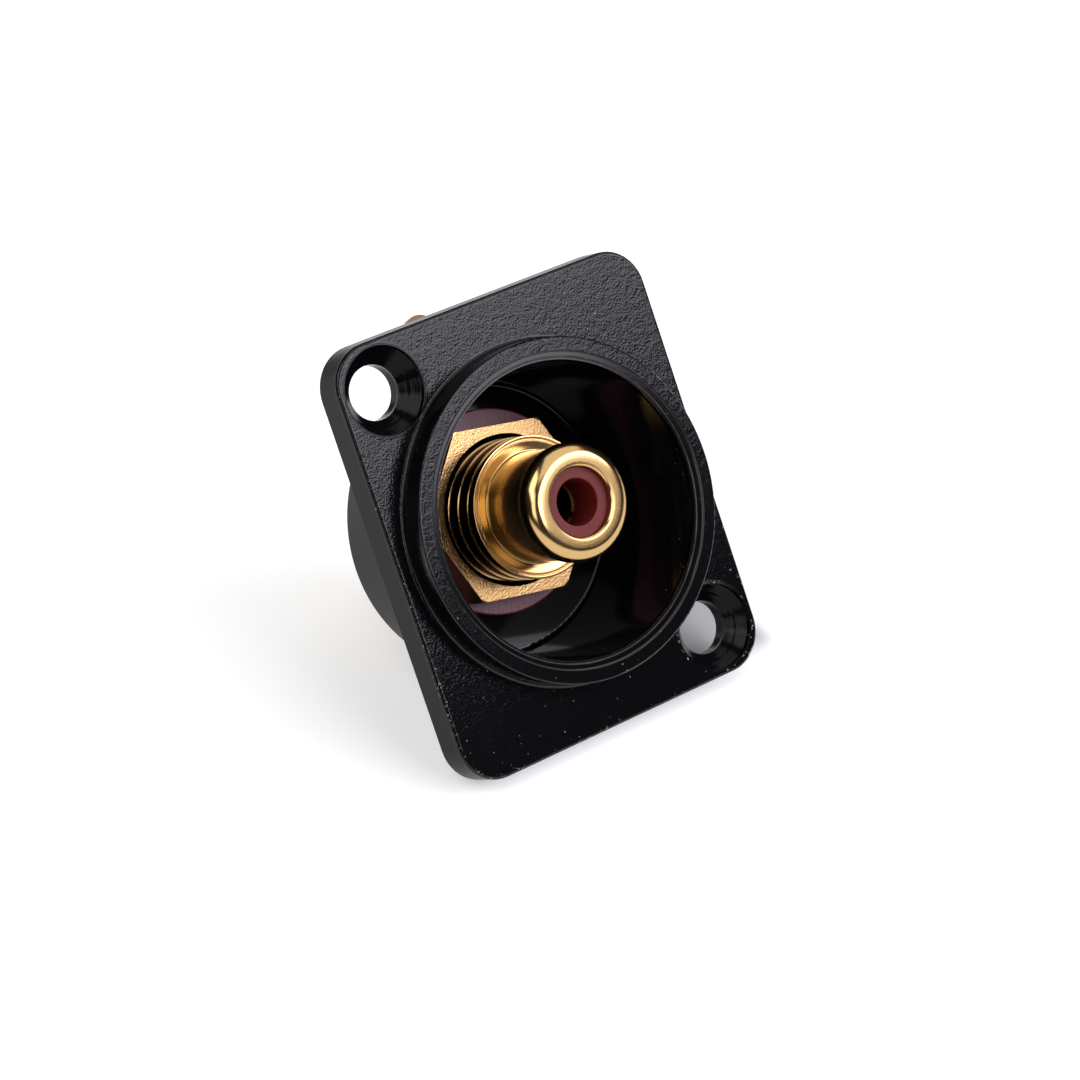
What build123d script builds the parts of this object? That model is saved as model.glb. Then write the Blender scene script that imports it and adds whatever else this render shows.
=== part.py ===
from build123d import *
from math import hypot, radians, tan
import os

# A panel-mount phono socket: a jack bolted into the bottom of a cast flange's cup.
# Millimetres. The front faces -Y and +Z is up. The origin is on the barrel's axis, in the plane
# of the flange's rear face, which seats on the panel. Y grows towards the back.

# Flange of the casting
FLANGE_WIDTH = 26.0
FLANGE_HEIGHT = 31.0
FLANGE_THICKNESS = 2.6
FLANGE_CORNER_RADIUS = 3.0
FLANGE_FRONT_ROUNDING = 0.25
FLANGE_REAR_CHAMFER = 0.2

# Two countersunk screw holes, at the upper left and the lower right
SCREW_FROM_EDGE = 3.5
SCREW_HOLE_DIAMETER = 3.8
COUNTERSINK_DIAMETER = 6.1
COUNTERSINK_LIP = 0.4
COUNTERSINK_HALF_ANGLE = 45.0

# Raised ring round the cup's mouth, as wide as the countersinks leave room for
RING_TO_COUNTERSINK = 0.355
RING_HEIGHT = 2.2
RING_LAND_WIDTH = 1.0
RING_EDGE_ROUNDING = 0.15
RING_ROOT_ROUNDING = 0.25
LIP_STEP = 0.08
LIP_WIDTH = 0.6
LIP_FALL = 0.2

# Cup, and the barrel round it that goes through the panel. The wall is measured at the flange.
CUP_DEPTH = 10.8
CUP_DRAFT_ANGLE = 3.75
CUP_FLOOR_ROUNDING = 0.25
FLOOR_THICKNESS = 2.0
BARREL_WALL = 1.15
BARREL_DRAFT_ANGLE = 5.0
BARREL_REAR_ROUNDING = 0.3

# Hole in the cup's floor: the jack sits a little above the cup's axis
JACK_RISE = 0.5
FLOOR_HOLE_DIAMETER = 11.4

# Clearances between pieces, on the radius
THREAD_CLEARANCE = 0.03
WASHER_CLEARANCE = 0.1
PRESS_CLEARANCE = 0.02

# Jack body, one turning
THREAD_DIAMETER = 10.0
THREAD_LENGTH = 10.0
THREAD_CHAMFER = 0.12
NOSE_DIAMETER = 7.75
NOSE_LENGTH = 5.95
NOSE_ROOT_ROUNDING = 0.35
BEAD_DIAMETER = 8.2
BEAD_LENGTH = 1.7
BEAD_BACK_SLOPE = 0.25
BEAD_FRONT_ROUNDING = 1.0
NOSE_BORE_DIAMETER = 4.9
NOSE_BORE_CHAMFER = 0.1
NOSE_BORE_PAST_RIM = 2.0
REAR_BORE_DIAMETER = 7.0
COLLAR_PAST_LUG = 0.5
COLLAR_THICKNESS = 2.2
COLLAR_FLAT_DEPTH = 0.75
COLLAR_CHAMFER = 0.3
SPIGOT_DIAMETER = 8.8
SPIGOT_LENGTH = 1.5
CRIMP_THICKNESS = 0.5
CRIMP_INWARD = 0.5

# Hex nut
NUT_ACROSS_FLATS = 12.0
NUT_THICKNESS = 2.2
NUT_TURN = 50.0
NUT_CORNER_DIAMETER = 13.5
NUT_CORNER_FALL = 0.2
NUT_BORE_CHAMFER = 0.3

# Insulating washers
WASHER_PAST_COLLAR = 0.3
FRONT_WASHER_THICKNESS = 1.0
REAR_WASHER_THICKNESS = 1.0
WASHER_EDGE_ROUNDING = 0.12
SHOULDER_CLEARANCE = 0.1
SHOULDER_SHORT_OF_FLOOR = 0.2

# Solder lug
LUG_THICKNESS = 0.5
LUG_RING_WIDTH = 1.4
LUG_ARM_WIDTH = 3.0
LUG_ARM_LENGTH = 6.92
LUG_BEND_PAST_WASHER = 0.3
LUG_BEND_RADIUS = 0.8
LUG_LEAN = 15.0
LUG_TURN = 10.0
LUG_WIRE_HOLE_DIAMETER = 1.6
LUG_WIRE_HOLE_FROM_TIP = 1.7

# Insulators inside the jack body
DIELECTRIC_RECESS = 0.55
DIELECTRIC_FLANGE_LENGTH = 2.0
PIN_HOLE_DIAMETER = 3.24
PIN_HOLE_ROUNDING = 0.1
INSULATOR_TAIL_DIAMETER = 5.8
INSULATOR_TAIL_LENGTH = 0.8

# Centre contact, a slotted tube with a solder cup
CONTACT_DEPTH = 3.0
CONTACT_DIAMETER = 3.9
CONTACT_BORE_DIAMETER = 2.9
CONTACT_BORE_DEPTH = 11.5
CONTACT_MOUTH_CHAMFER = 0.12
CONTACT_TUBE_LENGTH = 12.4
CONTACT_COLLAR_DIAMETER = 5.2
CONTACT_COLLAR_LENGTH = 1.5
CONTACT_SLOT_COUNT = 4
CONTACT_SLOT_WIDTH = 0.4
CONTACT_SLOT_LENGTH = 5.5
TAIL_DIAMETER = 3.0
TAIL_LENGTH = 8.5
SOLDER_CUP_BORE_DIAMETER = 2.0
SOLDER_CUP_DEPTH = 4.0
SOLDER_CUP_OPENING = 3.0

# Far enough past a face for a cut to go right through it
CUT_MARGIN = 1.0

# Stations along the axis, from the flange's rear face at zero
flange_front = -FLANGE_THICKNESS
ring_front = flange_front - RING_HEIGHT
lip_front = ring_front + LIP_STEP
lip_rear = lip_front + LIP_FALL
floor_front = ring_front + CUP_DEPTH
floor_rear = floor_front + FLOOR_THICKNESS
front_washer_front = floor_front - FRONT_WASHER_THICKNESS
nut_front = front_washer_front - NUT_THICKNESS
rear_washer_rear = floor_rear + REAR_WASHER_THICKNESS
collar_front = rear_washer_rear + LUG_THICKNESS
collar_rear = collar_front + COLLAR_THICKNESS
spigot_rear = collar_rear + SPIGOT_LENGTH
crimp_front = spigot_rear - CRIMP_THICKNESS
rim = collar_front - THREAD_LENGTH
nose_front = rim - NOSE_LENGTH
bore_step = rim + NOSE_BORE_PAST_RIM
dielectric_front = nose_front + DIELECTRIC_RECESS
dielectric_rear = bore_step + DIELECTRIC_FLANGE_LENGTH
contact_front = dielectric_front + CONTACT_DEPTH
contact_collar_rear = dielectric_rear + CONTACT_COLLAR_LENGTH
contact_tube_rear = contact_front + CONTACT_TUBE_LENGTH
contact_rear = contact_tube_rear + TAIL_LENGTH

# Screw positions, from the flange's centre
screw_x = FLANGE_WIDTH / 2 - SCREW_FROM_EDGE
screw_z = FLANGE_HEIGHT / 2 - SCREW_FROM_EDGE

# Radii that several pieces share
ring_radius = hypot(screw_x, screw_z) - COUNTERSINK_DIAMETER / 2 - RING_TO_COUNTERSINK
land_inner_radius = ring_radius - RING_LAND_WIDTH
mouth_radius = land_inner_radius - LIP_WIDTH
thread_radius = THREAD_DIAMETER / 2
nose_bore_radius = NOSE_BORE_DIAMETER / 2
rear_bore_radius = REAR_BORE_DIAMETER / 2
floor_hole_radius = FLOOR_HOLE_DIAMETER / 2
contact_radius = CONTACT_DIAMETER / 2
shank_hole_radius = thread_radius + WASHER_CLEARANCE
lug_ring_radius = shank_hole_radius + LUG_RING_WIDTH
collar_radius = lug_ring_radius + COLLAR_PAST_LUG
washer_radius = collar_radius + WASHER_PAST_COLLAR


def turned(*corners):
    """Revolves a closed outline round the Y axis. A corner is (radius, y) or (radius, y, rounding)."""
    points = [corner[:2] for corner in corners]
    roundings = [corner[2] if len(corner) > 2 else 0 for corner in corners]
    outline = FilletPolyline(*points, radius=roundings, close=True)
    return revolve(make_face(outline), Axis.Y)


def disc(radius, start, end):
    """A plain round bar from one station to another."""
    return turned((0, start), (radius, start), (radius, end), (0, end))


def on_jack_axis(piece):
    """Lifts a piece from the barrel's axis to the jack's."""
    return Pos(0, 0, JACK_RISE) * piece


def flange_plate():
    outline = Plane.XZ * RectangleRounded(FLANGE_WIDTH, FLANGE_HEIGHT, FLANGE_CORNER_RADIUS)
    plate = extrude(outline, FLANGE_THICKNESS)
    plate = fillet(plate.faces().sort_by(Axis.Y)[0].edges(), FLANGE_FRONT_ROUNDING)
    return chamfer(plate.faces().sort_by(Axis.Y)[-1].edges(), FLANGE_REAR_CHAMFER)


def cup_radius(station):
    """The radius of the cup's drafted wall at a station along the axis."""
    return mouth_radius - (station - lip_rear) * tan(radians(CUP_DRAFT_ANGLE))


def ring_and_barrel():
    """The round outside of the casting, filled: ring in front of the flange, tapered barrel behind."""
    mid_flange = flange_front / 2
    barrel_radius = cup_radius(0) + BARREL_WALL
    barrel_rear_radius = barrel_radius - floor_rear * tan(radians(BARREL_DRAFT_ANGLE))
    return turned(
        (0, ring_front),
        (ring_radius, ring_front, RING_EDGE_ROUNDING),
        (ring_radius, flange_front, RING_ROOT_ROUNDING),
        (ring_radius + 2 * RING_ROOT_ROUNDING, flange_front),
        (ring_radius + 2 * RING_ROOT_ROUNDING, mid_flange),
        (barrel_radius, mid_flange),
        (barrel_radius, 0),
        (barrel_rear_radius, floor_rear, BARREL_REAR_ROUNDING),
        (0, floor_rear),
    )


def cup_cavity():
    """The drafted cup, with the stepped and sloped lip inside the ring's land."""
    return turned(
        (0, ring_front - CUT_MARGIN),
        (land_inner_radius, ring_front - CUT_MARGIN),
        (land_inner_radius, lip_front),
        (mouth_radius, lip_rear),
        (cup_radius(floor_front), floor_front, CUP_FLOOR_ROUNDING),
        (0, floor_front),
    )


def screw_hole():
    """A countersunk hole on the Y axis, with a short straight lip at the flange's face."""
    hole_radius = SCREW_HOLE_DIAMETER / 2
    sink_radius = COUNTERSINK_DIAMETER / 2
    cone_front = flange_front + COUNTERSINK_LIP
    cone_rear = cone_front + (sink_radius - hole_radius) / tan(radians(COUNTERSINK_HALF_ANGLE))
    return turned(
        (0, flange_front - CUT_MARGIN),
        (sink_radius, flange_front - CUT_MARGIN),
        (sink_radius, cone_front),
        (hole_radius, cone_rear),
        (hole_radius, CUT_MARGIN),
        (0, CUT_MARGIN),
    )


def housing():
    casting = flange_plate() + ring_and_barrel() - cup_cavity()
    for side in (-1, 1):
        casting -= Pos(side * screw_x, 0, -side * screw_z) * screw_hole()
    floor_hole = disc(floor_hole_radius, floor_front - CUT_MARGIN, floor_rear + CUT_MARGIN)
    return casting - on_jack_axis(floor_hole)


def front_washer():
    return turned(
        (shank_hole_radius, front_washer_front),
        (washer_radius, front_washer_front, WASHER_EDGE_ROUNDING),
        (washer_radius, floor_front, WASHER_EDGE_ROUNDING),
        (shank_hole_radius, floor_front),
    )


def rear_washer():
    """A washer with a sleeve that keeps the shank off the edge of the floor's hole."""
    shoulder_radius = floor_hole_radius - SHOULDER_CLEARANCE
    shoulder_front = floor_front + SHOULDER_SHORT_OF_FLOOR
    return turned(
        (shank_hole_radius, shoulder_front),
        (shoulder_radius, shoulder_front),
        (shoulder_radius, floor_rear),
        (washer_radius, floor_rear, WASHER_EDGE_ROUNDING),
        (washer_radius, rear_washer_rear, WASHER_EDGE_ROUNDING),
        (shank_hole_radius, rear_washer_rear),
    )


def hex_nut():
    """A thin nut whose corners fall away at both ends, with a chamfered hole."""
    hole_radius = thread_radius + THREAD_CLEARANCE
    corner_radius = NUT_CORNER_DIAMETER / 2
    full_radius = NUT_ACROSS_FLATS
    full_front = nut_front + NUT_CORNER_FALL * (full_radius - corner_radius)
    full_rear = front_washer_front - NUT_CORNER_FALL * (full_radius - corner_radius)
    hexagon = RegularPolygon(NUT_ACROSS_FLATS / 2, 6, major_radius=False, rotation=NUT_TURN)
    prism = extrude(Plane.XZ.offset(-front_washer_front) * hexagon, NUT_THICKNESS)
    corners = turned(
        (0, nut_front),
        (corner_radius, nut_front),
        (full_radius, full_front),
        (full_radius, full_rear),
        (corner_radius, front_washer_front),
        (0, front_washer_front),
    )
    hole = turned(
        (0, nut_front),
        (hole_radius + NUT_BORE_CHAMFER, nut_front),
        (hole_radius, nut_front + NUT_BORE_CHAMFER),
        (hole_radius, front_washer_front - NUT_BORE_CHAMFER),
        (hole_radius + NUT_BORE_CHAMFER, front_washer_front),
        (0, front_washer_front),
    )
    return (prism & corners) - hole


def wrench_collar():
    """The round collar behind the panel, with two flats for a wrench."""
    collar = turned(
        (0, collar_front),
        (collar_radius, collar_front),
        (collar_radius, collar_rear - COLLAR_CHAMFER),
        (collar_radius - COLLAR_CHAMFER, collar_rear),
        (0, collar_rear),
    )
    middle = (collar_front + collar_rear) / 2
    across_flats = 2 * (collar_radius - COLLAR_FLAT_DEPTH)
    flats = Pos(0, middle, 0) * Box(across_flats, COLLAR_THICKNESS, 2 * collar_radius)
    return collar & flats


def jack_body():
    """Beaded nose, threaded shank, wrench collar and crimped spigot, bored from both ends."""
    nose_radius = NOSE_DIAMETER / 2
    bead_radius = BEAD_DIAMETER / 2
    spigot_radius = SPIGOT_DIAMETER / 2
    bead_rear = nose_front + BEAD_LENGTH
    outside = turned(
        (0, nose_front),
        (bead_radius, nose_front, BEAD_FRONT_ROUNDING),
        (bead_radius, bead_rear - BEAD_BACK_SLOPE),
        (nose_radius, bead_rear),
        (nose_radius, rim, NOSE_ROOT_ROUNDING),
        (thread_radius - THREAD_CHAMFER, rim),
        (thread_radius, rim + THREAD_CHAMFER),
        (thread_radius, collar_front + COLLAR_THICKNESS / 2),
        (spigot_radius, collar_front + COLLAR_THICKNESS / 2),
        (spigot_radius, spigot_rear, CRIMP_THICKNESS),
        (0, spigot_rear),
    )
    bore = turned(
        (0, nose_front - CUT_MARGIN),
        (nose_bore_radius + NOSE_BORE_CHAMFER, nose_front - CUT_MARGIN),
        (nose_bore_radius + NOSE_BORE_CHAMFER, nose_front),
        (nose_bore_radius, nose_front + NOSE_BORE_CHAMFER),
        (nose_bore_radius, bore_step),
        (rear_bore_radius, bore_step),
        (rear_bore_radius, crimp_front),
        (rear_bore_radius - CRIMP_INWARD, crimp_front),
        (rear_bore_radius - CRIMP_INWARD, spigot_rear + CUT_MARGIN),
        (0, spigot_rear + CUT_MARGIN),
    )
    return outside + wrench_collar() - bore


def front_dielectric():
    """The insulator round the pin's hole, with a flange that stops it at the bore's step."""
    outer_radius = nose_bore_radius - PRESS_CLEARANCE
    flange_radius = rear_bore_radius - PRESS_CLEARANCE
    socket_radius = contact_radius + PRESS_CLEARANCE
    pin_radius = PIN_HOLE_DIAMETER / 2
    return turned(
        (pin_radius, dielectric_front, PIN_HOLE_ROUNDING),
        (outer_radius, dielectric_front),
        (outer_radius, bore_step),
        (flange_radius, bore_step),
        (flange_radius, dielectric_rear),
        (socket_radius, dielectric_rear),
        (socket_radius, contact_front),
        (pin_radius, contact_front),
    )


def rear_insulator():
    """The plug behind the contact's collar, held in by the crimp."""
    outer_radius = rear_bore_radius - PRESS_CLEARANCE
    collar_radius = CONTACT_COLLAR_DIAMETER / 2 + PRESS_CLEARANCE
    tube_radius = contact_radius + PRESS_CLEARANCE
    tail_radius = TAIL_DIAMETER / 2 + PRESS_CLEARANCE
    insulator_rear = spigot_rear + INSULATOR_TAIL_LENGTH
    return turned(
        (collar_radius, dielectric_rear),
        (outer_radius, dielectric_rear),
        (outer_radius, crimp_front),
        (INSULATOR_TAIL_DIAMETER / 2, crimp_front),
        (INSULATOR_TAIL_DIAMETER / 2, insulator_rear),
        (tail_radius, insulator_rear),
        (tail_radius, contact_tube_rear),
        (tube_radius, contact_tube_rear),
        (tube_radius, contact_collar_rear),
        (collar_radius, contact_collar_rear),
    )


def centre_contact():
    """A sprung tube with slots at its mouth, a collar, and a solder cup open towards the top."""
    tail_radius = TAIL_DIAMETER / 2
    bore_radius = CONTACT_BORE_DIAMETER / 2
    contact = turned(
        (0, contact_front),
        (contact_radius, contact_front),
        (contact_radius, dielectric_rear),
        (CONTACT_COLLAR_DIAMETER / 2, dielectric_rear),
        (CONTACT_COLLAR_DIAMETER / 2, contact_collar_rear),
        (contact_radius, contact_collar_rear),
        (contact_radius, contact_tube_rear),
        (tail_radius, contact_tube_rear),
        (tail_radius, contact_rear),
        (0, contact_rear),
    )
    contact -= turned(
        (0, contact_front),
        (bore_radius + CONTACT_MOUTH_CHAMFER, contact_front),
        (bore_radius, contact_front + CONTACT_MOUTH_CHAMFER),
        (bore_radius, contact_front + CONTACT_BORE_DEPTH),
        (0, contact_front + CONTACT_BORE_DEPTH + bore_radius / 2),
    )
    slot = Pos(contact_radius / 2, contact_front + CONTACT_SLOT_LENGTH / 2, 0) * Box(
        CONTACT_DIAMETER, CONTACT_SLOT_LENGTH, CONTACT_SLOT_WIDTH
    )
    slot = Pos(contact_radius / 2, 0, 0) * slot
    for index in range(CONTACT_SLOT_COUNT):
        contact -= Rot(0, (index + 0.5) * 360 / CONTACT_SLOT_COUNT, 0) * slot
    contact -= disc(SOLDER_CUP_BORE_DIAMETER / 2, contact_rear - SOLDER_CUP_DEPTH, contact_rear)
    opening = Box(TAIL_DIAMETER, SOLDER_CUP_OPENING, TAIL_DIAMETER)
    return contact - Pos(0, contact_rear - SOLDER_CUP_OPENING / 2, tail_radius) * opening


def solder_lug():
    """A pressed tag: a ring on the shank, and an arm bent back past the barrel to a rounded tip."""
    plane = Plane.XZ.offset(-collar_front)
    half_width = LUG_ARM_WIDTH / 2
    bend_start = washer_radius + LUG_BEND_PAST_WASHER
    stub = Pos(0, bend_start / 2) * Rectangle(LUG_ARM_WIDTH, bend_start)
    base = extrude(plane * (Circle(lug_ring_radius) + stub - Circle(shank_hole_radius)), LUG_THICKNESS)

    section = Plane.XY.offset(bend_start) * Pos(0, collar_front - LUG_THICKNESS / 2)
    section = section * Rectangle(LUG_ARM_WIDTH, LUG_THICKNESS)
    bend_axis = Axis((0, collar_front + LUG_BEND_RADIUS, bend_start), (-1, 0, 0))
    bend = revolve(section, bend_axis, LUG_LEAN)

    straight = LUG_ARM_LENGTH - half_width
    arm = Pos(0, straight / 2) * Rectangle(LUG_ARM_WIDTH, straight)
    arm += Pos(0, straight) * Circle(half_width)
    arm -= Pos(0, LUG_ARM_LENGTH - LUG_WIRE_HOLE_FROM_TIP) * Circle(LUG_WIRE_HOLE_DIAMETER / 2)
    arm = Pos(0, 0, bend_start) * extrude(plane * arm, LUG_THICKNESS)
    arm = arm.rotate(bend_axis, LUG_LEAN)
    return Rot(0, LUG_TURN, 0) * (base + bend + arm)


pieces = {
    "housing": housing(),
    "front_washer": on_jack_axis(front_washer()),
    "rear_washer": on_jack_axis(rear_washer()),
    "hex_nut": on_jack_axis(hex_nut()),
    "jack_body": on_jack_axis(jack_body()),
    "front_dielectric": on_jack_axis(front_dielectric()),
    "rear_insulator": on_jack_axis(rear_insulator()),
    "centre_contact": on_jack_axis(centre_contact()),
    "solder_lug": on_jack_axis(solder_lug()),
}

os.makedirs("parts", exist_ok=True)
for name, piece in pieces.items():
    export_step(piece, f"parts/{name}.step")
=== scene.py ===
import math

import bmesh
import bpy
import numpy as np
from mathutils import Matrix, Vector


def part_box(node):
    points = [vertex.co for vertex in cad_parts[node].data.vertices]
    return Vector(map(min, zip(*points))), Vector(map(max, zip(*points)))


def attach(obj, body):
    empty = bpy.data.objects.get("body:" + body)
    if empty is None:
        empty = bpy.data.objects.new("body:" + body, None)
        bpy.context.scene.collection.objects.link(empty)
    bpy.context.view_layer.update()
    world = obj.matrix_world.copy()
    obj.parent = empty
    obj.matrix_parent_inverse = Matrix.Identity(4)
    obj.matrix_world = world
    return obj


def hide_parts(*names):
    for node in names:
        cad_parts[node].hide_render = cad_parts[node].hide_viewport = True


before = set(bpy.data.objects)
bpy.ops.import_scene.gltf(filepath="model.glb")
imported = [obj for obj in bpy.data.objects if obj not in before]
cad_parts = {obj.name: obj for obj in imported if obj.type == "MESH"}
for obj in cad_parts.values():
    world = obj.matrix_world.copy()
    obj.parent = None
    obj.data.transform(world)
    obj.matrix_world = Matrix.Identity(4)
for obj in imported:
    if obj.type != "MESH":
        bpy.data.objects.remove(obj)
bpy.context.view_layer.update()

# Lengths are in metres and patterns are in object coordinates, so a pattern's scale is in cells a metre

MM = 0.001
PER_MM = 1000.0

# Places that shapes, materials and the studio share. X is right, Y back through the panel, Z up.

housing_low, housing_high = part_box("housing")
jack_low, jack_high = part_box("jack_body")
FLANGE_HALF = Vector((housing_high.x, 0, housing_high.z))
FLANGE_CORNER = 3 * MM
FLANGE_FRONT = -2.6 * MM
SCREW_HOLE = Vector((-9.5 * MM, 0, 12 * MM))
RING_FRONT = housing_low.y
RING_LIP = 10.9 * MM
CUP_MOUTH = 10.3 * MM
CUP_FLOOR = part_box("front_washer")[1].y
BARREL_REAR = housing_high.y
BARREL_REAR_RADIUS = 10.45 * MM
JACK_AXIS = Vector((0, 0, (jack_low.z + jack_high.z) / 2))


def linear(colour):
    """An sRGB hex colour as linear red, green, blue and a full alpha."""
    parts = [int(colour[i : i + 2], 16) / 255 for i in (1, 3, 5)]
    return [c / 12.92 if c <= 0.04045 else ((c + 0.055) / 1.055) ** 2.4 for c in parts] + [1.0]


def add(tree, kind, inputs=None, **settings):
    """Adds a node, sets its properties, and fills its sockets with values or links."""
    made = tree.nodes.new("ShaderNode" + kind)
    for name, value in settings.items():
        setattr(made, name, value)
    for socket, value in (inputs or {}).items():
        if isinstance(value, bpy.types.NodeSocket):
            tree.links.new(value, made.inputs[socket])
        else:
            made.inputs[socket].default_value = value
    return made


def new_material(name):
    """An empty material and its node tree."""
    material = bpy.data.materials.new(name)
    material.use_nodes = True
    material.node_tree.nodes.clear()
    return material, material.node_tree


def from_axis(tree, place, centre):
    """The distance from the axis that runs front to back through centre."""
    flat = add(tree, "VectorMath", {0: place, 1: (1, 0, 1)}, operation="MULTIPLY").outputs[0]
    return add(tree, "VectorMath", {0: flat, 1: centre}, operation="DISTANCE").outputs["Value"]


# Shapes, worked out in millimetres


def rounded_outline(corners, step):
    """Points along an open polyline whose corners are (radius, y, rounding): each rounding is an arc
    tangent to both runs, and every run and arc is divided into lengths near step."""
    places = np.array([corner[:2] for corner in corners], float)
    points = [places[:1]]
    for before, here, after, corner in zip(places, places[1:], places[2:], corners[1:]):
        if len(corner) < 3:
            points.append(here[None])
            continue
        a = (before - here) / np.linalg.norm(before - here)
        b = (after - here) / np.linalg.norm(after - here)
        half = math.acos(float(a @ b)) / 2
        sweep = math.pi - 2 * half
        centre = here + (a + b) / np.linalg.norm(a + b) * corner[2] / math.sin(half)
        start = here + a * corner[2] / math.tan(half) - centre
        end = here + b * corner[2] / math.tan(half) - centre
        t = np.linspace(0, 1, max(4, math.ceil(corner[2] * sweep / step) + 1))[:, None]
        arc = (np.sin((1 - t) * sweep) * start + np.sin(t * sweep) * end) / math.sin(sweep)
        points.append(centre + arc)
    points.append(places[-1:])
    joined = np.concatenate(points)
    lengths = np.linalg.norm(np.diff(joined, axis=0), axis=1)
    counts = np.maximum(1, np.round(lengths / (step * 6)).astype(int))
    runs = [s + (e - s) * np.arange(n)[:, None] / n for s, e, n in zip(joined, joined[1:], counts)]
    return np.concatenate(runs + [joined[-1:]])


def grid_faces(rows, columns, first=0):
    """Quads over a grid of vertices numbered row by row from first."""
    index = first + np.arange(rows * columns).reshape(rows, columns)
    return np.stack([index[:-1, :-1], index[:-1, 1:], index[1:, 1:], index[1:, :-1]], -1).reshape(-1, 4)


def surface(name, grids, faces):
    """One smooth mesh from grids of points and their quads. Points that meet, along the seams and where
    two grids join, are welded, so that the skin is closed."""
    points = np.concatenate([grid.reshape(-1, 3) for grid in grids])
    quads = np.concatenate(faces)
    mesh = bpy.data.meshes.new(name)
    mesh.vertices.add(len(points))
    mesh.vertices.foreach_set("co", points.astype(np.float32).ravel())
    mesh.loops.add(quads.size)
    mesh.loops.foreach_set("vertex_index", quads.astype(np.int32).ravel())
    mesh.polygons.add(len(quads))
    mesh.polygons.foreach_set("loop_start", np.arange(0, quads.size, 4, dtype=np.int32))
    mesh.update(calc_edges=True)
    skin = bmesh.new()
    skin.from_mesh(mesh)
    bmesh.ops.remove_doubles(skin, verts=skin.verts, dist=1e-7)
    bmesh.ops.dissolve_degenerate(skin, edges=skin.edges, dist=1e-8)
    bmesh.ops.recalc_face_normals(skin, faces=skin.faces)
    skin.to_mesh(mesh)
    skin.free()
    mesh.shade_smooth()
    mesh.set_sharp_from_angle(angle=math.radians(40))
    made = bpy.data.objects.new(name, mesh)
    bpy.context.scene.collection.objects.link(made)
    return made


def threaded_jack():
    """The turned jack body, in two surfaces that share the angle a round the jack's axis.
    The body is an outline (radius, y) carried round by a; on the wrench collar the radius is at most the
    flats' distance over the cosine of a. The shoulder between barrel and thread is dished by a tenth of a
    millimetre between two fine ridges.
    The thread is a function of a and of the turn t along the helix: y is t times the pitch plus the same
    part of a pitch as a is of a turn, and the radius falls from the crest by a V with a flat root, which
    depends on t alone. It fades to the plain shank at both ends."""
    nose_front, bead_end, bead_rear, rim, bore_step = jack_low.y / MM, -5.0, -4.75, -0.5, 1.5
    shank_end, collar_front, collar_rear, crimp_front = 4.2, 9.5, 11.7, 12.7
    spigot_rear = jack_high.y / MM
    nose, bead, crest, collar, flats, spigot = 3.875, 4.1, 5.0, 7.0, 6.25, 4.4
    nose_bore, rear_bore, crimp_bore = 2.45, 3.5, 3.0
    columns, dish, chamfer = 181, 0.1, 0.12
    corners = [
        (crest, shank_end),
        (crest, collar_front),
        (collar, collar_front),
        (collar, collar_rear - 0.3),
        (collar - 0.3, collar_rear),
        (spigot, collar_rear),
        (spigot, spigot_rear, 0.5),
        (crimp_bore, spigot_rear),
        (crimp_bore, crimp_front),
        (rear_bore, crimp_front),
        (rear_bore, bore_step),
        (nose_bore, bore_step),
        (nose_bore, nose_front + 0.1),
        (nose_bore + 0.1, nose_front, 0.05),
        (nose_bore + 0.5, nose_front, 0.04),
        (bead, nose_front + 0.02, 1.0),
        (bead, bead_end, 0.06),
        (nose, bead_rear, 0.1),
        (nose, rim + dish - 0.005, 0.08),
        (4.62, rim + 0.02, 0.03),
        (4.66, rim + dish, 0.02),
        (4.76, rim + dish, 0.02),
        (4.8, rim, 0.02),
        (4.97, rim, 0.04),
        (crest, rim + chamfer),
    ]
    outline = rounded_outline(corners, 0.03)
    a = np.linspace(0, 2 * np.pi, columns)[None]
    radius, y = outline[:, :1] + 0 * a, outline[:, 1:]
    on_collar = (y >= collar_front) & (y <= collar_rear) & (radius > spigot + 0.1)
    radius = np.where(on_collar, np.minimum(radius, flats / np.maximum(np.abs(np.cos(a)), 0.2)), radius)
    body = np.stack([radius * np.cos(a), y + 0 * a, radius * np.sin(a)], -1)

    pitch, depth, crest_share, flank_share, rows_a_turn = 1.3, 0.5, 0.035, 0.12, 52
    front, rear = rim + chamfer, shank_end
    turns = math.ceil((rear - front) / pitch) + 1
    t = (np.arange(turns * rows_a_turn + 1) / rows_a_turn)[:, None]
    y = front + pitch * (t - 1 + a / (2 * np.pi))
    # Half a turn round, where the crests show on the left, one stands at this y
    left_crest = 0.47
    phase = (front - pitch / 2 - left_crest) / pitch + t
    groove = np.clip((np.abs(phase - np.round(phase)) - crest_share) / flank_share, 0, 1)
    fade = np.clip((y - front) / 0.16, 0, 1) * np.clip((rear - y) / 0.1, 0, 1)
    radius = crest - depth * groove * fade
    y = np.clip(y, front, rear)
    thread = np.stack([radius * np.cos(a), y, radius * np.sin(a)], -1)
    # The strip keeps only the faces between the thread's two ends
    before = body.shape[0] * body.shape[1]
    strip = grid_faces(*y.shape, first=before)
    reach = np.concatenate([np.zeros(before), y.ravel()])[strip]
    strip = strip[(reach.max(1) > front + 1e-9) & (reach.min(1) < rear - 1e-9)]

    centre = np.array(JACK_AXIS)
    grids = [body * MM + centre, thread * MM + centre]
    return surface("threaded_jack", grids, [grid_faces(*body.shape[:2]), strip])


# Materials


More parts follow.
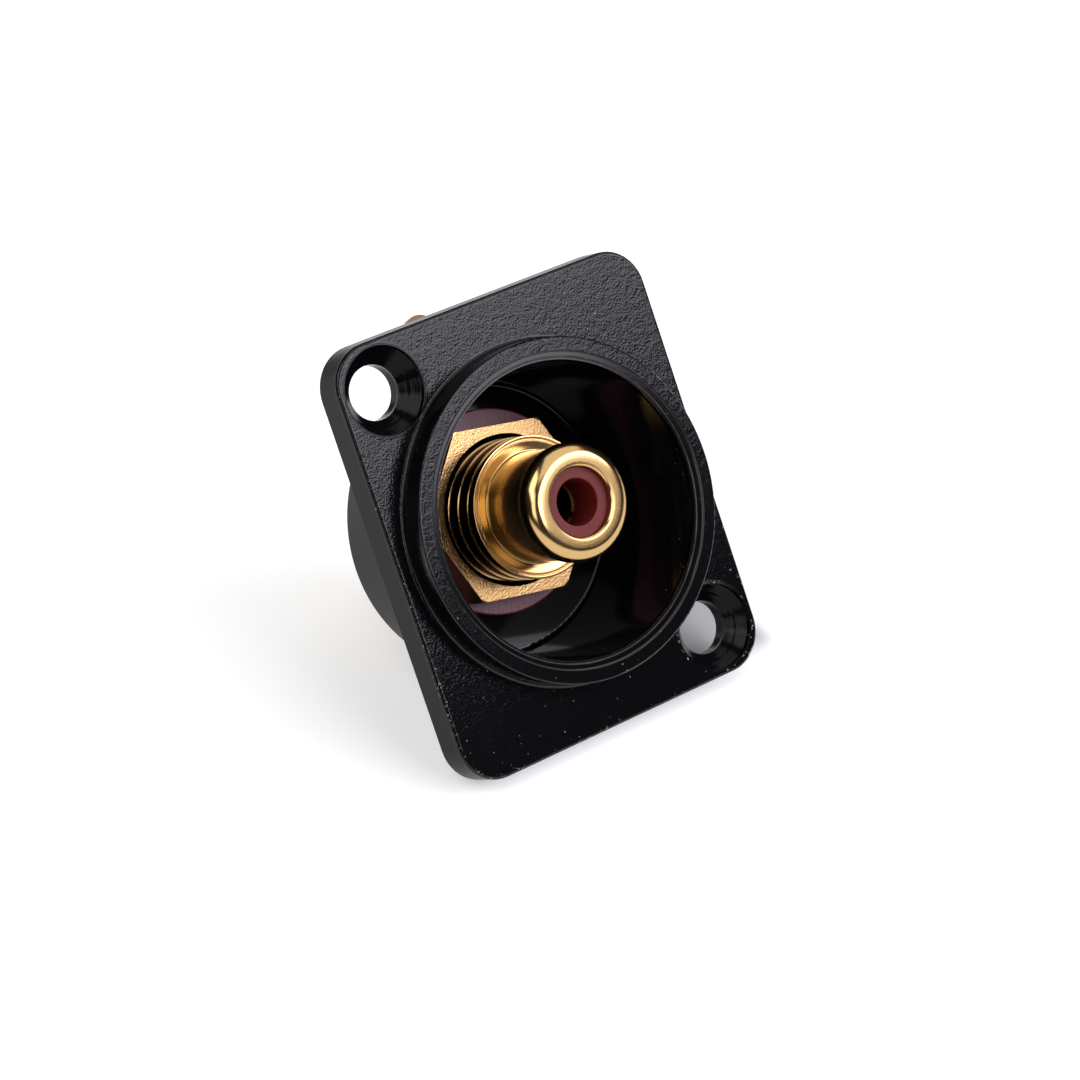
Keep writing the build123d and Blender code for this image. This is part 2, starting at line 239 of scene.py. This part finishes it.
def casting_zones(tree):
    """Distances and masks that the casting's relief, wear and coats share. A mask is 1 in its zone: forward
    of the flange's front edge, the ring's front, the countersinks' depth, the flange and ring fronts apart
    from the countersinks, the cup within its mouth, and the textured front outside the ring's lip."""
    place = add(tree, "TexCoord").outputs["Object"]
    axes = add(tree, "SeparateXYZ", {0: place}).outputs
    radius = from_axis(tree, place, Vector((0, 0, 0)))
    upper = from_axis(tree, place, SCREW_HOLE)
    lower = from_axis(tree, place, -SCREW_HOLE)
    hole = add(tree, "Math", {0: upper, 1: lower}, operation="MINIMUM").outputs[0]
    zone = {"place": place, "y": axes["Y"], "z": axes["Z"], "radius": radius, "lower": lower, "hole": hole}
    for name, source, start, end in (
        ("forward", axes["Y"], FLANGE_FRONT + 0.35 * MM, FLANGE_FRONT + 0.1 * MM),
        ("ring_front", axes["Y"], RING_FRONT + 0.7 * MM, RING_FRONT + 0.5 * MM),
        ("sunk", axes["Y"], FLANGE_FRONT + 1.8 * MM, FLANGE_FRONT + 1.6 * MM),
        ("inside", axes["Y"], CUP_FLOOR + 0.8 * MM, CUP_FLOOR + 0.5 * MM),
        ("front", hole, 3.0 * MM, 3.25 * MM),
        ("cup", radius, CUP_MOUTH + 0.05 * MM, CUP_MOUTH - 0.05 * MM),
        ("textured", radius, RING_LIP - 0.05 * MM, RING_LIP + 0.05 * MM),
    ):
        zone[name] = add(tree, "MapRange", {0: source, 1: start, 2: end}).outputs[0]
    for name, within in (("front", "forward"), ("cup", "inside"), ("textured", "front")):
        zone[name] = add(tree, "Math", {0: zone[name], 1: zone[within]}, operation="MULTIPLY").outputs[0]
    return zone


def lip_lines(tree, radius):
    """The height of the lip's two fine raised lines, each 0.2 mm from the radius midway between them."""
    midway, spread = 10.68 * MM, 0.2 * MM
    line = add(tree, "Math", {0: radius, 1: midway}, operation="SUBTRACT").outputs[0]
    line = add(tree, "Math", {0: line}, operation="ABSOLUTE").outputs[0]
    line = add(tree, "Math", {0: line, 1: spread}, operation="SUBTRACT").outputs[0]
    line = add(tree, "Math", {0: line}, operation="ABSOLUTE").outputs[0]
    return add(tree, "MapRange", {0: line, 1: 0.07 * MM, 2: 0.0, 4: 0.05 * MM}).outputs[0]


def casting_relief(tree, zone, line):
    """The casting's bent normal, from a height in metres: orange peel on the front, shallower on the ring
    and towards the lower end, turned rings in the countersinks, and the lip's lines where it falls away to
    the cup."""
    # Orange peel, with cells of 0.14 mm over a swell of half a millimetre
    fine = {"Vector": zone["place"], "Scale": 7 * PER_MM, "Detail": 2.0, "Roughness": 0.5}
    peel = add(tree, "TexNoise", fine).outputs[0]
    swell = add(tree, "TexNoise", {"Vector": zone["place"], "Scale": 1.9 * PER_MM, "Detail": 1.0}).outputs[0]
    relief = add(tree, "Math", {0: swell, 1: 0.8, 2: peel}, operation="MULTIPLY_ADD").outputs[0]
    on_ring = {0: zone["y"], 1: FLANGE_FRONT - 0.4 * MM, 2: RING_FRONT + 0.8 * MM}
    depth = add(tree, "MapRange", {**on_ring, 3: 0.018 * MM, 4: 0.011 * MM}).outputs[0]
    depth = add(tree, "MapRange", {0: zone["textured"], 3: 0.001 * MM, 4: depth}).outputs[0]
    filled = add(tree, "MapRange", {0: zone["z"], 1: 6 * MM, 2: -12 * MM, 3: 1.0, 4: 0.4}).outputs[0]
    depth = add(tree, "Math", {0: depth, 1: filled}, operation="MULTIPLY").outputs[0]
    height = add(tree, "Math", {0: relief, 1: depth}, operation="MULTIPLY").outputs[0]
    # Turned rings depend on the distance from the hole alone
    rings = add(tree, "CombineXYZ", {0: zone["hole"]}).outputs[0]
    rings = add(tree, "TexNoise", {"Vector": rings, "Scale": 4.5 * PER_MM, "Detail": 2.0}).outputs[0]
    cut = add(tree, "MapRange", {0: zone["hole"], 1: 3.3 * MM, 2: 3.1 * MM, 4: 0.03 * MM}).outputs[0]
    cut = add(tree, "Math", {0: cut, 1: zone["sunk"]}, operation="MULTIPLY").outputs[0]
    height = add(tree, "Math", {0: rings, 1: cut, 2: height}, operation="MULTIPLY_ADD").outputs[0]
    fall = add(tree, "MapRange", {0: zone["radius"], 1: RING_LIP, 2: CUP_MOUTH, 4: 0.22 * MM}).outputs[0]
    lip = add(tree, "Math", {0: line, 1: fall}, operation="ADD").outputs[0]
    within = zone["ring_front"]
    height = add(tree, "Math", {0: lip, 1: within, 2: height}, operation="MULTIPLY_ADD").outputs[0]
    return add(tree, "Bump", {"Height": height, "Strength": 1.0, "Distance": 1.0}).outputs[0]


def casting_wear(tree, zone, line):
    """A mask of bare metal and dust: chips along the flange's front edge, more of them lower down, a knock
    at the lower right corner, chips round the lower countersink, rubbed spots on the lip's lines, and
    specks of dust on the front."""
    place, forward = zone["place"], zone["forward"]
    noise = {"Vector": place, "Scale": 3.6 * PER_MM, "Detail": 3.0, "Roughness": 0.65}
    flecks = add(tree, "TexNoise", noise).outputs[0]
    # The front edge, by the distance from the rounded rectangle's corner centres
    size = add(tree, "VectorMath", {0: place, 1: (1, 0, 1)}, operation="MULTIPLY").outputs[0]
    size = add(tree, "VectorMath", {0: size}, operation="ABSOLUTE").outputs[0]
    straight = FLANGE_HALF - Vector((FLANGE_CORNER, 0, FLANGE_CORNER))
    beyond = add(tree, "VectorMath", {0: size, 1: straight}, operation="SUBTRACT").outputs[0]
    beyond = add(tree, "VectorMath", {0: beyond, 1: (0, 0, 0)}, operation="MAXIMUM").outputs[0]
    corner = add(tree, "VectorMath", {0: beyond}, operation="LENGTH").outputs["Value"]
    inner, outer = FLANGE_CORNER - 0.4 * MM, FLANGE_CORNER - 0.05 * MM
    edge = add(tree, "MapRange", {0: corner, 1: inner, 2: outer}).outputs[0]
    edge = add(tree, "Math", {0: edge, 1: forward}, operation="MULTIPLY").outputs[0]

    least = add(tree, "MapRange", {0: zone["z"], 1: 12 * MM, 2: -6 * MM, 3: 0.72, 4: 0.64}).outputs[0]
    chips = add(tree, "Math", {0: flecks, 1: least}, operation="GREATER_THAN").outputs[0]
    chips = add(tree, "Math", {0: chips, 1: edge}, operation="MULTIPLY").outputs[0]

    knock = from_axis(tree, place, Vector((11.9 * MM, 0, -14.8 * MM)))
    knock = add(tree, "MapRange", {0: knock, 1: 1.1 * MM, 2: 0.2 * MM}).outputs[0]
    knock = add(tree, "Math", {0: knock, 1: edge, 2: flecks}, operation="MULTIPLY_ADD").outputs[0]
    knock = add(tree, "Math", {0: knock, 1: 0.98}, operation="GREATER_THAN").outputs[0]

    around = add(tree, "Math", {0: zone["lower"], 1: 3.2 * MM}, operation="SUBTRACT").outputs[0]
    around = add(tree, "Math", {0: around}, operation="ABSOLUTE").outputs[0]
    around = add(tree, "MapRange", {0: around, 1: 0.2 * MM, 2: 0.0, 4: 0.12}).outputs[0]
    around = add(tree, "Math", {0: around, 1: flecks}, operation="ADD").outputs[0]
    around = add(tree, "Math", {0: around, 1: 0.73}, operation="GREATER_THAN").outputs[0]
    around = add(tree, "Math", {0: around, 1: forward}, operation="MULTIPLY").outputs[0]

    rubbed = add(tree, "MapRange", {0: line, 1: 0.01 * MM, 2: 0.045 * MM, 4: 0.3}).outputs[0]
    for share in (flecks, zone["ring_front"]):
        rubbed = add(tree, "Math", {0: rubbed, 1: share}, operation="MULTIPLY").outputs[0]

    # One cell in eighty holds a speck, near its centre
    cells = add(tree, "TexVoronoi", {"Vector": place, "Scale": 1.1 * PER_MM}).outputs
    few = add(tree, "SeparateColor", {0: cells["Color"]}).outputs[0]
    few = add(tree, "Math", {0: few, 1: 0.988}, operation="GREATER_THAN").outputs[0]
    dust = add(tree, "Math", {0: cells["Distance"], 1: 0.05}, operation="LESS_THAN").outputs[0]
    for share in (few, forward):
        dust = add(tree, "Math", {0: dust, 1: share}, operation="MULTIPLY").outputs[0]

    for other in (knock, around, rubbed, dust):
        chips = add(tree, "Math", {0: chips, 1: other}, operation="MAXIMUM").outputs[0]
    return chips


def black_casting():
    """Black stove enamel over a zinc die casting.
    The front faces keep the casting's orange peel, which breaks the lamp's reflection into grey grain.
    The ring's inner lip carries two fine raised lines, where the enamel drew back, that catch the light.
    The cup is smooth gloss, so it stays black but for reflections of the gold; the countersinks are turned,
    with fine rings. The sides and the back are satin: a plain dark grey. Along the front edge the enamel
    is chipped to bright metal in small flecks, and a few specks of dust lie on the front."""
    material, tree = new_material("black_stove_enamel_on_die_cast_zinc")
    zone = casting_zones(tree)
    line = lip_lines(tree, zone["radius"])
    bump = casting_relief(tree, zone, line)
    pale = casting_wear(tree, zone, line)
    colour = add(
        tree, "Mix", {0: pale, 6: linear("#08080a"), 7: linear("#8f8d89")}, data_type="RGBA"
    ).outputs[2]
    # Satin is a little glossier in the holes
    satin = add(tree, "MapRange", {0: zone["hole"], 1: 3.2 * MM, 2: 3.1 * MM, 3: 0.3, 4: 0.15}).outputs[0]
    sides, front, cup = (
        add(
            tree, "BsdfPrincipled",
            {"Base Color": colour, "Roughness": roughness, "IOR": ior, "Normal": bump},
        ).outputs[0]
        for roughness, ior in ((satin, 1.2), (0.11, 1.34), (0.08, 1.36))
    )
    coat = add(tree, "MixShader", {0: zone["front"], 1: sides, 2: front}).outputs[0]
    coat = add(tree, "MixShader", {0: zone["cup"], 1: coat, 2: cup}).outputs[0]
    add(tree, "OutputMaterial", {"Surface": coat})
    return material


def turned_gold():
    """Thin gold over turned brass: mirror-like, so it takes its light and dark from the room, with fine
    rings round the axis that draw thin lines across the reflections. In the thread's root and in the
    contact's bore the colour is painted dark brown: painted shade where little light reaches."""
    material, tree = new_material("gold_plate_on_turned_brass")
    place = add(tree, "TexCoord").outputs["Object"]
    radius = from_axis(tree, place, JACK_AXIS)
    along = add(tree, "SeparateXYZ", {0: place}).outputs["Y"]
    # Real turning marks are finer than this, a tenth of a millimetre, which is as fine as the render shows
    rings = add(tree, "CombineXYZ", {0: radius, 1: along}).outputs[0]
    marks = {"Vector": rings, "Scale": 9 * PER_MM, "Detail": 2.0, "Roughness": 0.6}
    cut = add(tree, "TexNoise", marks).outputs[0]
    depth = add(tree, "MapRange", {0: along, 1: -1.5 * MM, 2: -0.9 * MM, 3: 0.2, 4: 0.4}).outputs[0]
    bump = add(tree, "Bump", {"Height": cut, "Strength": depth, "Distance": 0.005 * MM}).outputs[0]
    core, mouth, deep, behind, before = (
        add(tree, "MapRange", {0: source, 1: start * MM, 2: end * MM}).outputs[0]
        for source, start, end in (
            (radius, 1.5, 1.44),
            (along, 4.0, 3.0),
            (radius, 4.98, 4.82),
            (along, -0.34, -0.3),
            (along, 4.4, 4.2),
        )
    )
    # The contact's bore and the thread's root take the dark brown: painted shade in these recesses
    bore = add(tree, "Math", {0: core, 1: mouth}, operation="MULTIPLY").outputs[0]
    root = add(tree, "Math", {0: deep, 1: behind}, operation="MULTIPLY").outputs[0]
    root = add(tree, "Math", {0: root, 1: before}, operation="MULTIPLY").outputs[0]
    dull = add(tree, "Math", {0: bore, 1: root}, operation="MAXIMUM").outputs[0]
    colour = add(
        tree, "Mix", {0: dull, 6: linear("#c4a26c"), 7: linear("#33190f")}, data_type="RGBA"
    ).outputs[2]
    shader = add(
        tree, "BsdfPrincipled",
        {"Base Color": colour, "Metallic": 1.0, "Roughness": 0.18, "Normal": bump},
    )
    add(tree, "OutputMaterial", {"Surface": shader.outputs[0]})
    return material


def grained_gold():
    """Gold over a sawn nut: the same plate on a coarser face, so its reflections are pale and speckled. Its
    bore is bevelled in the bent normal, and the bevel is coloured dark brown as a ring of painted shade
    beside the thread."""
    material, tree = new_material("gold_plate_on_sawn_brass")
    place = add(tree, "TexCoord").outputs["Object"]
    noise = {"Vector": place, "Scale": 6.5 * PER_MM, "Detail": 3.0, "Roughness": 0.65}
    grain = add(tree, "TexNoise", noise).outputs[0]
    radius = from_axis(tree, place, JACK_AXIS)
    bevel = add(tree, "MapRange", {0: radius, 1: 5.0 * MM, 2: 5.35 * MM, 3: -0.35 * MM, 4: 0.0}).outputs[0]
    height = add(tree, "Math", {0: grain, 1: 0.02 * MM, 2: bevel}, operation="MULTIPLY_ADD").outputs[0]
    bump = add(tree, "Bump", {"Height": height, "Strength": 1.0, "Distance": 1.0}).outputs[0]
    # Dark brown on the bevel inside this radius: a ring of painted shade
    dark = add(tree, "MapRange", {0: radius, 1: 5.37 * MM, 2: 5.33 * MM}).outputs[0]
    colour = add(
        tree, "Mix", {0: dark, 6: linear("#b19060"), 7: linear("#33190f")}, data_type="RGBA"
    ).outputs[2]
    shader = add(
        tree, "BsdfPrincipled",
        {"Base Color": colour, "Metallic": 1.0, "Roughness": 0.2, "Normal": bump},
    )
    add(tree, "OutputMaterial", {"Surface": shader.outputs[0]})
    return material


def plated_lug():
    """Thin plating over rolled brass strip: a dull copper brown, with faint lines the way it was rolled."""
    material, tree = new_material("thin_gold_on_rolled_brass")
    place = add(tree, "TexCoord").outputs["Object"]
    drawn = add(tree, "VectorMath", {0: place, 1: (1, 1, 0.15)}, operation="MULTIPLY").outputs[0]
    roll = add(tree, "TexNoise", {"Vector": drawn, "Scale": 9 * PER_MM, "Detail": 2.0}).outputs[0]
    bump = add(tree, "Bump", {"Height": roll, "Strength": 1.0, "Distance": 0.002 * MM}).outputs[0]
    shader = add(
        tree, "BsdfPrincipled",
        {"Base Color": linear("#6a5440"), "Metallic": 1.0, "Roughness": 0.42, "Normal": bump},
    )
    add(tree, "OutputMaterial", {"Surface": shader.outputs[0]})
    return material


def red_insulator():
    """Moulded red phenolic, matt from its tool: dark red with a mauve veil where the lamp grazes it."""
    material, tree = new_material("red_moulded_phenolic")
    place = add(tree, "TexCoord").outputs["Object"]
    noise = {"Vector": place, "Scale": 5 * PER_MM, "Detail": 3.0, "Roughness": 0.65}
    grain = add(tree, "TexNoise", noise).outputs[0]
    bump = add(tree, "Bump", {"Height": grain, "Strength": 1.0, "Distance": 0.03 * MM}).outputs[0]
    shader = add(
        tree, "BsdfPrincipled",
        {"Base Color": linear("#5e1411"), "Roughness": 0.5, "IOR": 1.4, "Normal": bump},
    )
    add(tree, "OutputMaterial", {"Surface": shader.outputs[0]})
    return material


def red_fibre():
    """Stamped vulcanised fibre: fine parallel paper lines, dark mauve red with a dull shine."""
    material, tree = new_material("red_vulcanised_fibre")
    place = add(tree, "TexCoord").outputs["Object"]
    # The lines lean from upright, and are drawn a tenth of a millimetre wide so that they show
    across, along = (
        add(tree, "VectorMath", {0: place, 1: way}, operation="DOT_PRODUCT").outputs["Value"]
        for way in ((0.93, 0, -0.37), (0.37, 0, 0.93))
    )
    along = add(tree, "Math", {0: along, 1: 0.06}, operation="MULTIPLY").outputs[0]
    paper = add(tree, "CombineXYZ", {0: across, 1: along}).outputs[0]
    noise = {"Vector": paper, "Scale": 9 * PER_MM, "Detail": 3.0, "Roughness": 0.7}
    lines = add(tree, "TexNoise", noise).outputs[0]
    shade = add(tree, "MapRange", {0: lines, 1: 0.35, 2: 0.65}).outputs[0]
    colour = add(
        tree, "Mix", {0: shade, 6: linear("#4a1f28"), 7: linear("#6e3640")}, data_type="RGBA"
    ).outputs[2]
    bump = add(tree, "Bump", {"Height": lines, "Strength": 1.0, "Distance": 0.004 * MM}).outputs[0]
    shader = add(
        tree, "BsdfPrincipled", {"Base Color": colour, "Roughness": 0.4, "IOR": 1.5, "Normal": bump}
    )
    add(tree, "OutputMaterial", {"Surface": shader.outputs[0]})
    return material


def dress(node, material):
    """Gives a CAD node its material."""
    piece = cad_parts[node]
    piece.data.materials.clear()
    piece.data.materials.append(material)


plating = turned_gold()
jack = threaded_jack()
jack.data.materials.append(plating)
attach(jack, "root")
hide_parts("jack_body")

dress("housing", black_casting())
dress("hex_nut", grained_gold())
dress("centre_contact", plating)
dress("solder_lug", plated_lug())
insulator = red_insulator()
dress("front_dielectric", insulator)
dress("rear_insulator", insulator)
fibre = red_fibre()
dress("front_washer", fibre)
dress("rear_washer", fibre)

# Studio. The part leans back on its flange's lower rear edge and its barrel, as in the photograph, so the
# floor is the plane through both, a hair below them. Studio axes: right, away along the floor, up from it.

LEAN = math.atan2(FLANGE_HALF.z - BARREL_REAR_RADIUS, BARREL_REAR)
RIGHT = Vector((1, 0, 0))
AWAY = Vector((0, math.cos(LEAN), math.sin(LEAN)))
UP = Vector((0, -math.sin(LEAN), math.cos(LEAN)))
FLOOR_POINT = Vector((0, 0.2 * MM, -FLANGE_HALF.z))


def studio(right, away, up):
    """A point in the row frame from distances in metres along the studio's axes."""
    return FLOOR_POINT + RIGHT * right + AWAY * away + UP * up


def direction(azimuth, elevation):
    """The way to a lamp or camera. Azimuth 0 is in front, 90 on the right; both angles are in degrees."""
    a, e = math.radians(azimuth), math.radians(elevation)
    return RIGHT * math.sin(a) * math.cos(e) - AWAY * math.cos(a) * math.cos(e) + UP * math.sin(e)


def placed(position, back, roll=0.0):
    """A matrix that looks along local -Z, away from back, and is level but for a roll in degrees."""
    level = UP.cross(back).normalized()
    upright = back.cross(level)
    turn = math.radians(roll)
    across = level * math.cos(turn) + upright * math.sin(turn)
    rows = Matrix((across, back.cross(across), back)).transposed().to_4x4()
    rows.translation = position
    return rows


def softbox(name, azimuth, elevation, distance, width, height, power, colour="#ffffff"):
    """A rectangular lamp turned to the part, which the camera doesn't see. Lengths are in metres and the
    power is in watts."""
    position = FLOOR_POINT + direction(azimuth, elevation) * distance
    lamp = bpy.data.lights.new(name, "AREA")
    lamp.shape, lamp.size, lamp.size_y = "RECTANGLE", width, height
    lamp.energy, lamp.color = power, linear(colour)[:3]
    made = bpy.data.objects.new(name, lamp)
    made.matrix_world = placed(position, position.normalized())
    made.visible_camera = False
    bpy.context.scene.collection.objects.link(made)


def stage_mesh(name, points, faces, material):
    """A piece of the studio, which isn't part of the object."""
    mesh = bpy.data.meshes.new(name)
    mesh.from_pydata(points, [], faces)
    mesh.materials.append(material)
    made = bpy.data.objects.new(name, mesh)
    bpy.context.scene.collection.objects.link(made)
    return made


def painted_floor_shadow(tree):
    """A mask of painted shadow on the floor close behind the part, where the lower screw hole looks on to it:
    1 in a strip 5 mm wide behind the hole, and soft at its sides and ends."""
    hole_looks_at = 12.5 * MM
    place = add(tree, "TexCoord").outputs["Object"]
    beside = add(tree, "SeparateXYZ", {0: place}).outputs["X"]
    beside = add(tree, "Math", {0: beside, 1: hole_looks_at}, operation="SUBTRACT").outputs[0]
    beside = add(tree, "Math", {0: beside}, operation="ABSOLUTE").outputs[0]
    back = add(tree, "VectorMath", {0: place, 1: AWAY}, operation="DOT_PRODUCT").outputs["Value"]
    back = add(tree, "Math", {0: back, 1: FLOOR_POINT.dot(AWAY)}, operation="SUBTRACT").outputs[0]
    side, near, far = (
        add(
            tree, "MapRange", {0: source, 1: start * MM, 2: end * MM}, interpolation_type="SMOOTHSTEP"
        ).outputs[0]
        for source, start, end in ((beside, 4.5, 2.5), (back, -1, 2), (back, 13, 7))
    )
    shade = add(tree, "Math", {0: near, 1: far}, operation="MULTIPLY").outputs[0]
    return add(tree, "Math", {0: shade, 1: side}, operation="MULTIPLY").outputs[0]


def white_sweep():
    """White paper, matt. Seen directly or in a reflection it is lifted towards white, except in a strip close
    behind the part, where a painted shadow darkens its paint and drops the lift. From below it is clear, so
    that it doesn't hide the part."""
    material, tree = new_material("white_sweep")
    path = add(tree, "LightPath").outputs
    seen = add(tree, "Math", {0: path["Is Camera Ray"], 1: path["Is Glossy Ray"]}, operation="ADD").outputs[0]
    seen = add(tree, "Math", {0: seen, 1: path["Is Transmission Ray"]}, operation="ADD").outputs[0]
    shade = painted_floor_shadow(tree)
    # Where the mask is 1 the paint darkens and the lift goes out: a painted shadow on the floor
    lifted, painted = (
        add(tree, "Mix", {0: shade, 6: linear(lit), 7: linear(painted_shadow)}, data_type="RGBA").outputs[2]
        for lit, painted_shadow in (("#ffffff", "#000000"), ("#e6e6e6", "#c5c5c5"))
    )
    paint = add(tree, "BsdfDiffuse", {"Color": painted}).outputs[0]
    lift = add(tree, "Emission", {"Color": lifted, "Strength": 0.4}).outputs[0]
    bright = add(tree, "AddShader", {0: paint, 1: lift}).outputs[0]
    top = add(tree, "MixShader", {0: seen, 1: paint, 2: bright}).outputs[0]
    behind = add(tree, "NewGeometry").outputs["Backfacing"]
    below = add(tree, "Math", {0: behind, 1: seen}, operation="MULTIPLY").outputs[0]
    clear = add(tree, "BsdfTransparent").outputs[0]
    shader = add(tree, "MixShader", {0: below, 1: top, 2: clear})
    add(tree, "OutputMaterial", {"Surface": shader.outputs[0]})
    return material


def floor():
    """A round floor under the part."""
    radius, sides = 0.3, 96
    t = np.linspace(0, 2 * np.pi, sides, endpoint=False)
    corners = [studio(radius * math.cos(a), radius * math.sin(a), 0) for a in t]
    stage_mesh("floor", corners, [tuple(range(sides))], white_sweep())


def dark_room():
    """A sphere round the studio that the camera doesn't see: the unlit room that gloss and gold reflect.
    A point of it is the radius times the direction at t down from the pole and a round it."""
    rows, columns, radius = 24, 48, 1.4
    t = np.linspace(0, np.pi, rows)[:, None]
    a = np.linspace(0, 2 * np.pi, columns, endpoint=False)[None]
    points = radius * np.stack([np.sin(t) * np.cos(a), np.sin(t) * np.sin(a), np.cos(t) + 0 * a], -1)
    index = np.arange(rows * columns).reshape(rows, columns)
    following = np.roll(index, -1, 1)
    quads = np.stack([index[:-1], index[1:], following[1:], following[:-1]], -1).reshape(-1, 4)
    material, tree = new_material("dark_studio_wall")
    shader = add(tree, "Emission", {"Color": linear("#ffffff"), "Strength": 0.012})
    add(tree, "OutputMaterial", {"Surface": shader.outputs[0]})
    made = stage_mesh("dark_room", points.reshape(-1, 3).tolist(), quads.tolist(), material)
    made.visible_camera = False


def backdrop():
    """A plain white world, which only the camera sees past the floor."""
    world = bpy.data.worlds.new("pale_backdrop")
    bpy.context.scene.world = world
    world.use_nodes = True
    world.node_tree.nodes.clear()
    sky = add(world.node_tree, "Background", {"Color": linear("#ffffff"), "Strength": 1.0})
    add(world.node_tree, "OutputWorld", {"Surface": sky.outputs[0]})


def place_camera():
    """The camera, solved from the flange's edges in the photograph."""
    focal_pixels, frame_pixels, sensor = 3619.06, 1080, 36.0
    camera = bpy.data.cameras.new("camera")
    camera.sensor_width = sensor
    camera.lens = focal_pixels / frame_pixels * sensor
    camera.clip_start, camera.clip_end = 0.01, 10.0
    view = bpy.data.objects.new("camera", camera)
    position = studio(-127.445 * MM, -154.456 * MM, 154.347 * MM)
    view.matrix_world = placed(position, direction(-38.2135, 34.7534), roll=0.8765)
    bpy.context.scene.collection.objects.link(view)
    bpy.context.scene.camera = view


floor()
dark_room()
softbox("key", 32, 34.5, 0.8, 0.95, 0.3, 6.0, "#f8f3ff")
softbox("overhead", 75, 68, 0.9, 1.2, 0.9, 4.4)
softbox("left", -54, 34, 0.8, 0.34, 0.5, 1.3)
softbox("rear", -90, 56, 0.8, 0.55, 0.5, 2.6)
backdrop()
place_camera()

bpy.context.scene.view_settings.view_transform = "Standard"
